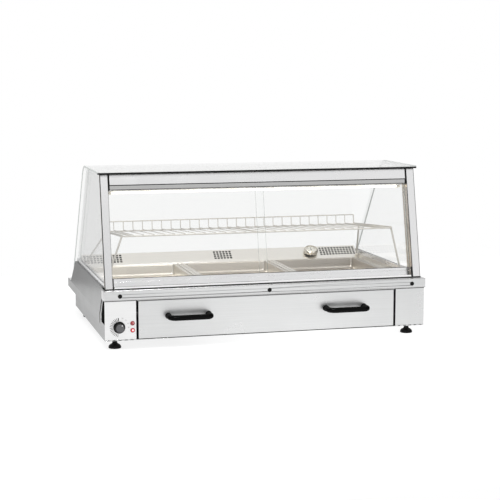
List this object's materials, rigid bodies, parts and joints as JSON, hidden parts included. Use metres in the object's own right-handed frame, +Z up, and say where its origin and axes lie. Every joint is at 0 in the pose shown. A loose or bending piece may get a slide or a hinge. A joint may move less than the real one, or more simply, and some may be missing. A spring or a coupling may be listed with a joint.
{
  "type": "hot food display case",
  "caption": "Counter-top heated food display case: bent-glass cabinet with sliding doors, food pans, wire shelf, lamp, thermostat and pull-out drawer.",
  "frame": {"origin": "on the counter, under the middle of the whole outline", "axes": "+X along the counter, to the right for the operator; +Y from the operator to the customer; +Z up"},
  "size_m": [1.12, 0.878, 0.574],
  "materials": {
    "steel": "fine brushed stainless steel",
    "panel_steel": "satin stainless steel, light",
    "deck_steel": "satin stainless steel, warm in the lamp light",
    "pan_steel": "pressed stainless steel",
    "plated_steel": "zinc plated",
    "heater_sheath": "oxidised heater sheath",
    "alloy": "anodised satin aluminium",
    "glass": "clear toughened glass",
    "lens_glass": "clear lens",
    "coated_wire": "white plastic-coated wire",
    "black_plastic": "moulded black",
    "handle_plastic": "glossy black",
    "seal_rubber": "black seal",
    "red_lens": "translucent red",
    "lamp_plastic": "white moulding",
    "lamp_glass": "opal tube, lit",
    "chrome_case": "polished case",
    "dial_white": "white dial",
    "needle_black": "black needle"
  },
  "bodies": {
    "case": {"base_box": "steel", "base_rear_panel": "steel", "drawer_cheeks": "steel", "control_panel": "panel_steel", "right_fascia": "steel", "front_rail": "steel", "deck": "deck_steel", "well_dividers": "deck_steel", "side_skirt_left": "steel", "side_skirt_right": "steel", "rear_ledge": "steel", "vent_panel": "deck_steel", "heater_tray": "steel", "heating_elements": "heater_sheath", "thermostat": "black_plastic", "cable_gland": "black_plastic", "pilot_lenses": "red_lens", "pilot_bodies": "black_plastic", "cap_plugs": "black_plastic", "foot_inserts": "plated_steel", "rear_screws": "plated_steel", "runner_outer": "plated_steel", "upright_left": "alloy", "upright_right": "alloy", "header_track": "alloy", "sill_track": "alloy", "curved_glass": "glass", "side_glass_left": "glass", "side_glass_right": "glass", "glass_channels": "alloy", "top_edge_trim": "seal_rubber", "frame_seals": "seal_rubber", "lamp_housing": "plated_steel", "lamp_holders": "lamp_plastic", "lamp_tube": "lamp_glass", "thermometer_case": "chrome_case", "thermometer_dial": "dial_white", "thermometer_lens": "lens_glass"},
    "door_left": {"door_left_glass": "glass", "door_left_rail": "alloy"},
    "door_right": {"door_right_glass": "glass", "door_right_rail": "alloy"},
    "drawer": {"drawer_front": "steel", "drawer_tray": "steel", "drawer_handle_left": "handle_plastic", "drawer_handle_right": "handle_plastic", "runner_inner": "plated_steel"},
    "knob": {"knob": "black_plastic"},
    "needle": {"thermometer_needle": "needle_black"},
    "pan_left": {"pan_left": "pan_steel"},
    "pan_middle": {"pan_middle": "pan_steel"},
    "pan_right": {"pan_right": "pan_steel"},
    "shelf": {"shelf_frame": "coated_wire", "shelf_floor_wires": "coated_wire", "shelf_fence": "coated_wire", "shelf_legs": "coated_wire"},
    "foot_front_left": {"foot_front_left": "black_plastic"},
    "foot_front_right": {"foot_front_right": "black_plastic"},
    "foot_rear_left": {"foot_rear_left": "black_plastic"},
    "foot_rear_right": {"foot_rear_right": "black_plastic"}
  },
  "joints": [
    {"name": "door_left_slide", "type": "slide", "parent": "case", "child": "door_left", "axis": [1, 0, 0], "range_m": [0, 0.5]},
    {"name": "door_right_slide", "type": "slide", "parent": "case", "child": "door_right", "axis": [-1, 0, 0], "range_m": [0, 0.5]},
    {"name": "drawer_slide", "type": "slide", "parent": "case", "child": "drawer", "axis": [0, -1, 0], "range_m": [0, 0.42]},
    {"name": "knob_turn", "type": "hinge", "parent": "case", "child": "knob", "pos_m": [-0.503, -0.391, 0.078], "axis": [0, 1, 0], "range_deg": [0, 270]},
    {"name": "needle_turn", "type": "hinge", "parent": "case", "child": "needle", "pos_m": [0.345, 0.24922, 0.22118], "axis": [0, -0.4067, 0.9135], "range_deg": [-130, 130]},
    {"name": "pan_left_lift", "type": "slide", "parent": "case", "child": "pan_left", "axis": [0, 0, 1], "range_m": [0, 0.015]},
    {"name": "pan_middle_lift", "type": "slide", "parent": "case", "child": "pan_middle", "axis": [0, 0, 1], "range_m": [0, 0.1]},
    {"name": "pan_right_lift", "type": "slide", "parent": "case", "child": "pan_right", "axis": [0, 0, 1], "range_m": [0, 0.01]},
    {"name": "shelf_lift", "type": "slide", "parent": "case", "child": "shelf", "axis": [0, 0, 1], "range_m": [0, 0.03]},
    {"name": "foot_front_left_screw", "type": "slide", "parent": "case", "child": "foot_front_left", "axis": [0, 0, -1], "range_m": [0, 0.012]},
    {"name": "foot_front_right_screw", "type": "slide", "parent": "case", "child": "foot_front_right", "axis": [0, 0, -1], "range_m": [0, 0.012]},
    {"name": "foot_rear_left_screw", "type": "slide", "parent": "case", "child": "foot_rear_left", "axis": [0, 0, -1], "range_m": [0, 0.012]},
    {"name": "foot_rear_right_screw", "type": "slide", "parent": "case", "child": "foot_rear_right", "axis": [0, 0, -1], "range_m": [0, 0.012]}
  ]
}
